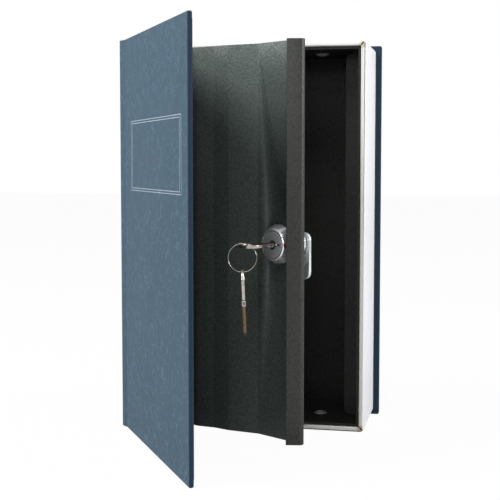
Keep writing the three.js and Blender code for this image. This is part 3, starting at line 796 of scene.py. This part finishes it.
# The tray and strike lip: the same hammertone far darker than the door's, painted shade of the cavity
SHADED_TRAY_COAT = hammertone("shaded_tray_hammertone", "#191b18", "#222521")
CHROME = plated("bright_chrome_plate", "#f4f6f7", "#eceef0", 0.2, 1.5 * MM, 0.8)
SATIN_CHROME = plated("satin_chrome_plate", "#b9bdc0", "#a2a7ab", 0.42, 0.6 * MM, 0.5)
NICKEL = plated("nickel_plate", "#dad5cd", "#8d8078", 0.24, 1.6 * MM)
BRASS = plated("worn_key_brass", "#917559", "#5d4839", 0.42, 1.2 * MM)
ZINC = plated("bright_zinc_plate", "#c3c7c6", "#a6abaa", 0.34, 2 * MM, 0.6)
ENAMEL = enamel()


def drawn(low, high):
    """A box's corners in the order in which a board is drawn: along, height and inwards."""
    return low[[0, 2, 1]], high[[0, 2, 1]]


def board(name, node_name, place, body, low, high):
    """A cloth-covered board: a rectangle with soft arrises and rounded fore-edge corners."""
    radii = (BOARD_HINGE_CORNER, BOARD_CORNER, BOARD_CORNER, BOARD_HINGE_CORNER)
    shape = plate([rectangle(low[:2], high[:2], radii)], low[2], high[2], BOARD_ARRIS)
    return piece(name, shape, place, body, CLOTH, [node_name])


def front_cover():
    """The front board, its lining paper and the stamped double rule."""
    low, high = drawn(*leaf_box("front_cover", COVER_OPEN))
    board("front_board", "front_cover", on_cover_face, "cover", low, high)
    face = low[2]
    low, high = drawn(*leaf_box("front_endpaper", COVER_OPEN))
    shape = plate([rectangle(low[:2], high[:2], BOARD_CORNER)], low[2], high[2], PAPER_ARRIS)
    piece("front_lining", shape, on_cover_face, "cover", LINING, ["front_endpaper"])
    a0, a1, b0, b1 = RULE_EDGES
    for name, (across, up) in {"outer": (0, 0), "inner": INNER_RULE}.items():
        outside = rectangle((a0 + across, b0 + up), (a1 - across, b1 - up), 0)
        across += RULE_WIDTH
        up += RULE_WIDTH
        inside = rectangle((a0 + across, b0 + up), (a1 - across, b1 - up), 0)
        rule = plate([outside, inside[::-1]], face - RULE_HEIGHT, face + RULE_HEIGHT, RULE_HEIGHT / 4, 1)
        piece(f"foil_rule_{name}", rule, on_cover_face, "cover", FOIL)


def back_cover():
    """The back board and its lining paper."""
    low, high = drawn(*box_of("back_cover"))
    board("back_board", "back_cover", upright, "root", low, high)
    low, high = drawn(*box_of("back_endpaper"))
    shape = plate([rectangle(low[:2], high[:2], BOARD_CORNER)], low[2], high[2], PAPER_ARRIS)
    piece("back_lining", shape, upright, "root", LINING, ["back_endpaper"])


def spine():
    """The spine, bowed between its two shoulders: in plan its outer face is x = shoulder - bow (1 - s^2),
    for s from -1 to 1, and its inner face lies one thickness inside."""
    low, high = box_of("spine")
    middle, half = (low[1] + high[1]) / 2, (high[1] - low[1]) / 2
    points = points_of("spine")
    shoulder = points[np.isclose(points[:, 1], low[1], atol=SHOULDER_REACH)][:, 0].min()
    bow = shoulder - low[0]
    thickness = high[0] - shoulder
    s = np.linspace(-1, 1, 33)
    outer = np.stack([shoulder - bow * (1 - s**2), middle + half * s], axis=-1)
    inner = np.stack([outer[:, 0] + thickness, middle + (half - SPINE_ARRIS / 2) * s], axis=-1)
    loop = np.concatenate([outer[::-1], inner])
    shape = plate([loop], low[2], high[2], SPINE_ARRIS)
    piece("spine_board", shape, in_row, "root", CLOTH, ["spine"])


def outward(line):
    """The side of a line that lies on the left as one walks along it."""
    along = unit(np.gradient(line, axis=0))
    return np.stack([-along[:, 1], along[:, 0]], axis=-1)


def strip_of_cloth(name, line, low, high, replaced, body=None):
    """A strip of cloth that follows a line in plan: its outer side is the line moved out by half its
    thickness and its inner side the line moved in by as much, with rounded edges."""
    out = outward(line) * JOINT_CLOTH / 2
    loop = np.concatenate([line - out, (line + out)[::-1]])
    shape = plate([loop], low, high, JOINT_ARRIS)
    return piece(name, shape, in_row, body, CLOTH, [replaced], sharp=60)


def back_joint():
    """The cloth over the back joint, from the spine to the back board. It sinks into a groove: depth times
    cos^2 across the strip's width."""
    low, high = box_of("back_joint_cloth")
    board_edge = box_of("back_cover")[0][0] + JOINT_GAP
    s = np.linspace(-1, 1, 25)
    middle = (low[1] + high[1]) / 2
    x = (low[0] + board_edge) / 2 + (board_edge - low[0]) / 2 * s
    line = np.stack([x, middle - GROOVE_DEPTH * np.cos(math.pi / 2 * s) ** 2], axis=-1)
    strip_of_cloth("back_joint", line, low[2], high[2], "back_joint_cloth", "root")


def front_joint():
    """The cloth over the front joint. It bends round the hinge knuckles on a quadratic curve, (1 - t)^2
    start + 2 t (1 - t) pull + t^2 end, in two halves that meet at the curve's middle point."""
    board_low, board_high = leaf_box("front_cover", COVER_OPEN)
    inwards = (board_low[1] + board_high[1] + JOINT_CLOTH) / 2
    start = swung(COVER_OPEN, board_low[0] - JOINT_GAP, inwards, 0.0)[:2]
    spine_low, spine_high = box_of("spine")
    end = np.array([spine_high[0], spine_low[1] - JOINT_CLOTH - JOINT_END_GAP])
    pull = np.array([spine_high[0] - JOINT_OUT, (start[1] + end[1]) / 2 + JOINT_BULGE])
    t = np.linspace(0, 1, 41)[:, None]
    line = (1 - t) ** 2 * start + 2 * t * (1 - t) * pull + t**2 * end
    line = line + JOINT_CLOTH / 2 * outward(line)
    seam = len(line) // 2
    low, high = box_of("front_joint_cloth")
    cloth = "front_joint_cloth"
    cover_half = strip_of_cloth("front_joint_cover_half", line[: seam + 1], low[2], high[2], cloth)
    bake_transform(cover_half)
    spine_half = strip_of_cloth("front_joint_spine_half", line[seam:], low[2], high[2], cloth)
    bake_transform(spine_half)


def page_strips():
    """The three white strips: each is its mitred outline in X and Z, carried along the book's depth with a
    soft front rim. As on a moulded part, the fore edge's outer face leans in towards the back: x loses the
    draft times the share of the depth, and less the nearer a point lies to the inner face."""
    strip_low, strip_high = box_of("page_strip_fore_edge")

    def drafted(x, z, y):
        share = np.clip((x - strip_low[0]) / (strip_high[0] - strip_low[0]), 0, 1)
        depth = (y - strip_low[1]) / (strip_high[1] - strip_low[1])
        return in_row(x - STRIP_DRAFT * share * depth, y, z)

    corners = {}
    for end in ("head", "tail"):
        low, high = box_of(f"page_strip_{end}")
        short = high[0] - (high[2] - low[2])
        lower, upper = (short, high[0]) if end == "head" else (high[0], short)
        corners[end] = [(low[0], low[2]), (lower, low[2]), (upper, high[2]), (low[0], high[2])]
    (inner, _, bottom), (outer, _, top) = strip_low, strip_high
    wall = outer - inner
    corners["fore_edge"] = [(inner, bottom + wall), (outer, bottom), (outer, top), (inner, top - wall)]
    for edge, points in corners.items():
        low, high = box_of(f"page_strip_{edge}")
        shape = plate([outline(points, STRIP_CORNER, 3)], low[1], high[1], STRIP_ARRIS)
        name = f"page_edge_{edge}"
        piece(name, shape, drafted, "root", STYRENE, [f"page_strip_{edge}"])


def door_section(low, high):
    """The door's section, along and inwards: a flat hinge land, a slope, a shallow step, a second slope,
    the sunk lock land, and a lip that folds back over the land until it leans at an angle. The sheet's back
    is its front moved inwards by the thickness, square to each stretch, and every crease is an arc that
    touches both of its sides, tighter by the thickness on its inner side."""
    creases = np.array(CREASES)
    front = np.concatenate([[(low[0], 0)], creases[:, :2], [(high[0], creases[-1, 1])]]) + (0, low[1])
    ahead = unit(np.diff(front, axis=0))
    left = np.stack([-ahead[:, 1], ahead[:, 0]], axis=-1)
    share = np.concatenate([[1.0], 1 / (1 + (left[:-1] * left[1:]).sum(-1)), [1.0]])[:, None]
    both_sides = np.concatenate([left[:1], left[:-1] + left[1:], left[-1:]])
    back = front + DOOR_SHEET * share * both_sides
    turn = np.sign((left[:-1] * ahead[1:]).sum(-1))
    front_radii = creases[:, 2]
    back_radii = np.maximum(front_radii - turn * DOOR_SHEET, DOOR_SHEET)

    land = front[-1, 1]
    outer_bend = LIP_BEND + DOOR_SHEET
    fold = np.array([math.cos(LIP_LEAN), math.sin(LIP_LEAN)])
    reach = 1 / math.tan(LIP_LEAN / 2)
    bend = high[0] - outer_bend
    inner = np.array([bend + LIP_BEND * reach, land])
    outer = np.array([bend + outer_bend * reach, land + DOOR_SHEET])
    inner_tip = inner - fold * (LIP_BEND * reach + LIP_FLAT)
    outer_tip = outer - fold * (outer_bend * reach + LIP_FLAT)
    corners = np.concatenate([front[:-1], [inner, inner_tip, outer_tip, outer], back[-2::-1]])
    arris = SHEET_ARRIS
    radii = [arris, *front_radii, LIP_BEND, arris, arris, outer_bend, *back_radii[::-1], arris]
    return outline(corners, radii, 10)


def door_panel():
    """The steel door: its section carried up its height, and the barrel's hole cut in its land."""
    low, high = leaf_box("door_panel", DOOR_OPEN)
    shape = plate([door_section(low, high)], low[2], high[2], SHEET_ARRIS)
    door = piece(
        "steel_door_panel", shape, on_door, "steel_door", DOOR_COAT, ["door_panel"]
    )
    land = low[1] + CREASES[-1][1]
    radius = BARREL_RADIUS + BARREL_CLEARANCE
    start, end = land - HOLE_OVERRUN, land + DOOR_SHEET + HOLE_OVERRUN
    core = turned([(0, start), (radius, start), (radius, end), (0, end)])
    cutter = piece("hole_cutter", core, at_lock, None, DOOR_COAT)
    bore = door.modifiers.new("barrel_hole", "BOOLEAN")
    bore.operation = "DIFFERENCE"
    bore.object = cutter
    cut = bpy.data.meshes.new_from_object(door.evaluated_get(bpy.context.evaluated_depsgraph_get()))
    door.modifiers.clear()
    door.data = cut
    bpy.data.objects.remove(cutter)


def lock_axis():
    """Where the lock's axis crosses the door: the middle of the nut's box, along, inwards and in height."""
    low, high = leaf_box("lock_nut", DOOR_OPEN)
    return (low + high) / 2


def at_lock(across, up, inwards):
    """Places round the lock's axis: across towards the free edge, up, and inwards as on the door."""
    along, _, height = lock_axis()
    return swung(DOOR_OPEN, along + across, inwards, height + up)


def steel_case():
    """The tray, strike lip, hinge and the lock's small parts keep their CAD shapes and get their
    finishes. The tray and strike lip get a hammertone far darker than the door's: painted shade of the
    cavity."""
    for finish, names in (
        (SHADED_TRAY_COAT, ("steel_box", "strike_lip")),
        (ZINC, ("hinge_box_leaf", "hinge_door_leaf", "hinge_rod", "lock_washer", "lock_nut", "cam_screw")),
        (ENAMEL, ("lock_mark",)),
    ):
        for name in names:
            slots = frame["nodes"][name].data.materials
            slots.clear()
            slots.append(finish)


def rivets():
    """Domed rivets on a plain shank: at radius r of R the head's face lies crown times (r / R)^roundness
    below its top."""
    for node_name in ("rivet_head_fore", "rivet_tail_fore", "rivet_head_spine", "rivet_tail_spine"):
        low, high = box_of(node_name)
        centre, radius, length = (low + high) / 2, (high[0] - low[0]) / 2, high[2] - low[2]
        base, turn = (low[2], 1) if "head" in node_name else (high[2], -1)
        r = np.linspace(0, 1, 9)
        head = np.stack([r * radius, RIVET_CROWN * r**RIVET_ROUNDNESS], axis=-1)
        rim = RIVET_CROWN + RIVET_RIM
        shank = [(radius, rim), (RIVET_SHANK, rim), (RIVET_SHANK, length), (0, length)]

        def riveted(across, deep, height):
            return in_row(centre[0] + across, centre[1] + deep, base + turn * height)

        name = node_name.replace("rivet", "riveted")
        shape = turned(np.concatenate([head, shank]), 40)
        piece(name, shape, riveted, "root", ZINC, [node_name])


def bezel():
    """The bezel and its barrel, turned from their section."""
    low, high = leaf_box("lock_housing", DOOR_OPEN)
    face, end, rim = low[1], high[1], (high[0] - low[0]) / 2
    low, high = leaf_box("lock_plug", DOOR_OPEN)
    recess = (high[0] - low[0]) / 2 + PLUG_FACE_CLEARANCE
    floor = low[1] + PLUG_FACE_THICKNESS + PLUG_BACK_CLEARANCE
    bore = PLUG_BODY_RADIUS + PLUG_BODY_CLEARANCE
    seat = leaf_box("door_panel", DOOR_OPEN)[0][1] + CREASES[-1][1] - BEZEL_SEAT
    corners = (
        ((bore, floor), 0),
        ((bore, end), BARREL_ROUND),
        ((BARREL_RADIUS, end), BARREL_ROUND),
        ((BARREL_RADIUS, seat), 0),
        ((rim, seat), BEZEL_FOOT_ROUND),
        ((rim, seat - BEZEL_EDGE), BEZEL_RIM_ROUND),
        ((BEZEL_LIP_RADIUS + BEZEL_CHAMFER, face + BEZEL_CHAMFER), BEZEL_CONE_ROUND),
        ((BEZEL_LIP_RADIUS, face), BEZEL_LIP_ROUND),
        ((recess, face), RECESS_ROUND),
        ((recess, floor), 0),
    )
    section = outline([corner for corner, _ in corners], [radius for _, radius in corners], 6)
    shape = turned(np.concatenate([section, section[:1]]), 96)
    piece("bezel", shape, at_lock, "steel_door", CHROME, ["lock_housing"])


def keyhole():
    """The plug's keyway, anticlockwise: a slot across a round eye, with a thin slit on its free side."""
    gap = math.asin(KEYWAY_HALF / KEYWAY_EYE)
    arc = np.linspace(gap, math.pi - gap, 17)
    upper = KEYWAY_EYE * np.stack([np.cos(arc), np.sin(arc)], axis=-1)
    lower = [(KEYWAY_REACH, -KEYWAY_HALF), (KEYWAY_REACH, -SLIT_HALF), (KEYWAY_SLIT, -SLIT_HALF)]
    right = lower + [(across, -up) for across, up in lower[::-1]]
    left = [(-KEYWAY_REACH, KEYWAY_HALF), (-KEYWAY_REACH, -KEYWAY_HALF)]
    return np.concatenate([right, upper, left, -upper])


def plug():
    """The plug: a plate with the keyway in it for its face, on a body turned from its section."""
    low, high = leaf_box("lock_plug", DOOR_OPEN)
    face, end = low[1], high[1]
    behind = face + PLUG_FACE_THICKNESS
    loops = [circle((high[0] - low[0]) / 2, sides=72), keyhole()[::-1]]
    disc = plate(loops, face, behind, PLUG_FACE_ARRIS)
    floor = leaf_box("key", DOOR_OPEN)[1][1] + KEY_TIP_CLEARANCE
    shank_end = leaf_box("lock_housing", DOOR_OPEN)[1][1] + PLUG_BACK_CLEARANCE
    section = [(0, floor), (PLUG_BORE, floor), (PLUG_BORE, behind), (PLUG_BODY_RADIUS, behind)]
    section += [(PLUG_BODY_RADIUS, shank_end), (BOSS_RADIUS, shank_end), (BOSS_RADIUS, end)]
    section += [(SCREW_HOLE, end), (SCREW_HOLE, floor + BORE_FLOOR), (0, floor + BORE_FLOOR)]
    shape = joined(disc, turned(section))
    piece("plug", shape, at_lock, "lock_core", SATIN_CHROME, ["lock_plug"])


def cam():
    """The cam: a plate with rounded corners and a hole for the plug's boss."""
    low, high = leaf_box("lock_cam", DOOR_OPEN)
    along, _, height = lock_axis()
    edge = rectangle((low[0] - along, low[2] - height), (high[0] - along, high[2] - height), CAM_CORNER)
    hole = circle(BOSS_RADIUS + BARREL_CLEARANCE)[::-1]
    shape = plate([edge, hole], low[1], high[1], CAM_ARRIS)
    piece("cam", shape, at_lock, "lock_core", CHROME, ["lock_cam"])


def key_head(half):
    """A key's bow, neck and collar: the bow is a ring that runs out into a tapering neck, and a raised band
    runs round the collar."""
    t = np.linspace(math.pi, 0, 33)
    bow = np.stack([BOW_RADIUS * np.cos(t), BOW_RADIUS - BOW_RADIUS * np.sin(t)], axis=-1)
    end = BOW_LENGTH + COLLAR_LENGTH
    corners = [bow[-1], (NECK_HALF, BOW_LENGTH), (COLLAR_HALF, BOW_LENGTH), (COLLAR_HALF, end), (0, end)]
    right = outline(corners, [0, NECK_CORNER, COLLAR_CORNER, COLLAR_CORNER, 0], 5)[1:-1]
    edge = np.concatenate([bow, right, right[::-1] * (-1, 1)])
    hole = circle(BOW_HOLE, (0, BOW_RIM + BOW_HOLE))[::-1]
    head = plate([edge, hole], -half, half, KEY_ARRIS)
    low, high = (-COLLAR_HALF, BOW_LENGTH + BAND_INSET), (COLLAR_HALF, end - BAND_INSET)
    band = rectangle(low, high, BAND_CORNER)
    return joined(head, plate([band], -half - BAND_RISE, half + BAND_RISE, BAND_RISE))


def key_blade(half, length):
    """A key's blade: a thin core with its cuts on one side, between raised ribs that leave two grooves on
    each face."""
    start = BOW_LENGTH + COLLAR_LENGTH - BLADE_IN_COLLAR
    cuts = []
    for at, depth in CUTS:
        floor = BLADE_HALF - depth
        cuts += [(BLADE_HALF, at - depth), (floor, at - CUT_FLOOR), (floor, at + CUT_FLOOR)]
        cuts.append((BLADE_HALF, at + depth))
    tip, slope = BLADE_HALF - BLADE_TIP, length - BLADE_TIP
    end = [(BLADE_HALF, slope), (tip, length), (-tip, length), (-BLADE_HALF, slope)]
    edge = outline([(-BLADE_HALF, start), (BLADE_HALF, start), *cuts, *end], CORE_CORNER, 2)
    core = plate([edge], -CORE_HALF, CORE_HALF, CORE_ARRIS, 2)
    deep = half - RIB_SUNK
    ribs = [rectangle((low, start), (high, length - RIB_SHORT), RIB_CORNER) for low, high in RIBS]
    return joined(core, *(plate([rib], -deep, deep, RIB_ARRIS, 2) for rib in ribs))


def flat_key(name, place, body, node_name, half, length, blade_metal):
    """A flat key lying in across and along, half its thickness to each side."""
    piece(name, key_head(half), place, body, NICKEL, [node_name])
    piece(f"{name}_blade", key_blade(half, length), place, body, blade_metal, [node_name])


def keys():
    """The key in the lock lies level, across the lock's axis. The spare hangs from the ring's foot: its
    width lies along the ring's axis, and its length points from the foot to the middle of its points."""
    low, high = leaf_box("key", DOOR_OPEN)
    half = (high[2] - low[2]) / 2
    length = high[1] - low[1]

    def in_lock(a, b, h):
        return at_lock(a, h, low[1] + b)

    flat_key("lock_key", in_lock, "lock_core", "key", half, length, NICKEL)
    points = points_of("spare_key")
    foot = np.array(JOINTS["spare_key_swing"]["pos_m"])
    across = unit(np.array(JOINTS["ring_swing"]["axis"], float))
    hang = (points.min(0) + points.max(0)) / 2 - foot
    along = unit(hang - across * (hang @ across))
    thin = np.cross(across, along)
    end = foot + along * ((points - foot) @ along).min()

    def hanging(a, b, h):
        return end + a[:, None] * across + b[:, None] * along + h[:, None] * thin

    flat_key("hanging_key", hanging, "spare", "spare_key", half, length, BRASS)


def key_ring():
    """The split ring: a wire that runs a little over once round its circle. Its two ends pass side by side:
    the wire steps across by its own thickness, as tanh of its share of the run."""
    joint = JOINTS["ring_swing"]
    centre, normal = np.array(joint["pos_m"]), unit(np.array(joint["axis"], float))
    side = unit(np.cross(normal, (0, 0, 1)))
    rise = np.cross(side, normal)
    reach = np.linalg.norm(points_of("key_ring") - centre, axis=1)
    wire = (reach.max() - reach.min()) / 4
    middle = (reach.max() + reach.min()) / 2
    t = np.linspace(math.pi - RING_OVERLAP / 2, 3 * math.pi + RING_OVERLAP / 2, 161)
    share = np.linspace(-0.5, 0.5, len(t))
    step = wire * RING_SPREAD * np.tanh(RING_CROSSING * share)
    spoke = np.cos(t)[:, None] * side + np.sin(t)[:, None] * rise
    path = centre + middle * spoke + step[:, None] * normal
    piece("split_ring", tube(path, wire), in_row, "ring", NICKEL, ["key_ring"])


def empty_tree(owner):
    """The node tree of a world or a material, emptied."""
    owner.use_nodes = True
    owner.node_tree.nodes.clear()
    return owner.node_tree


def white_surround():
    """The world: white to the camera and through glass, softer in reflections, and faint as a light."""
    world = bpy.data.worlds.new("white_surround")
    bpy.context.scene.world = world
    tree = empty_tree(world)
    rays = node(tree, "ShaderNodeLightPath").outputs
    seen = node(
        tree,
        "ShaderNodeMath",
        {0: rays["Is Camera Ray"], 1: rays["Is Transmission Ray"]},
        operation="MAXIMUM",
    )
    mirrored = node(
        tree,
        "ShaderNodeMapRange",
        {"Value": rays["Is Glossy Ray"], "To Min": SURROUND_LIGHT, "To Max": SURROUND_MIRRORED},
    )
    strength = node(
        tree,
        "ShaderNodeMath",
        {0: seen.outputs[0], 1: mirrored.outputs["Result"]},
        operation="MAXIMUM",
    )
    shade = node(tree, "ShaderNodeBackground", {"Color": (1, 1, 1, 1), "Strength": strength.outputs[0]})
    node(tree, "ShaderNodeOutputWorld", {"Surface": shade.outputs[0]})


def paper_floor():
    """A floor of matt pale paper. To the camera it is nearly all white light, and a small share of the
    paper under it keeps the object's shadow."""
    paper_sweep = bpy.data.materials.new("white_paper_sweep")
    tree = empty_tree(paper_sweep)
    rays = node(tree, "ShaderNodeLightPath").outputs
    paper = node(tree, "ShaderNodeBsdfDiffuse", {"Color": linear("#dcdcdc")})
    glow = node(tree, "ShaderNodeEmission", {"Color": (1, 1, 1, 1), "Strength": 1.0})
    share = node(tree, "ShaderNodeMath", {0: rays["Is Camera Ray"], 1: PAPER_GLOW}, operation="MULTIPLY")
    mixed = node(
        tree,
        "ShaderNodeMixShader",
        {0: share.outputs[0], 1: paper.outputs[0], 2: glow.outputs[0]},
    )
    node(tree, "ShaderNodeOutputMaterial", {"Surface": mixed.outputs[0]})
    side = np.linspace(-PAPER_REACH, PAPER_REACH, 3)
    x, y = np.meshgrid(side, side)
    points = np.stack([x, y, np.full_like(x, -PAPER_DROP)], axis=-1).reshape(-1, 3)
    mesh = bpy.data.meshes.new("floor")
    mesh.from_pydata(points.tolist(), [], grid_faces(3, 3)[:, ::-1].tolist())
    mesh.materials.append(paper_sweep)
    floor = in_scene("floor", mesh)


def softboxes():
    """Five soft square lamps round the front, all turned to the book; the strongest two stand high at its
    left and lower at its right."""
    aim = Vector(SOFTBOX_AIM)
    for name, spot, power in SOFTBOXES:
        lamp = bpy.data.lights.new(name, "AREA")
        lamp.size = SOFTBOX_SIZE
        lamp.energy = power
        softbox = in_scene(name, lamp)
        softbox.location = spot
        softbox.rotation_euler = (aim - Vector(spot)).to_track_quat("-Z", "Y").to_euler()


def camera():
    """The camera, at the photograph's place, direction and angle of view."""
    lens = bpy.data.cameras.new("camera")
    lens.lens = LENS
    lens.sensor_width = SENSOR
    lens.clip_start = CLIP_START
    viewer = in_scene("camera", lens)
    viewer.location = EYE
    viewer.rotation_euler = (math.radians(90 - LOOK_DOWN), 0, math.radians(LOOK_LEFT))
    bpy.context.scene.camera = viewer
    bpy.context.scene.view_settings.view_transform = "Standard"


front_cover()
back_cover()
spine()
back_joint()
front_joint()
page_strips()
door_panel()
steel_case()
rivets()
bezel()
plug()
cam()
keys()
key_ring()
white_surround()
paper_floor()
softboxes()
camera()
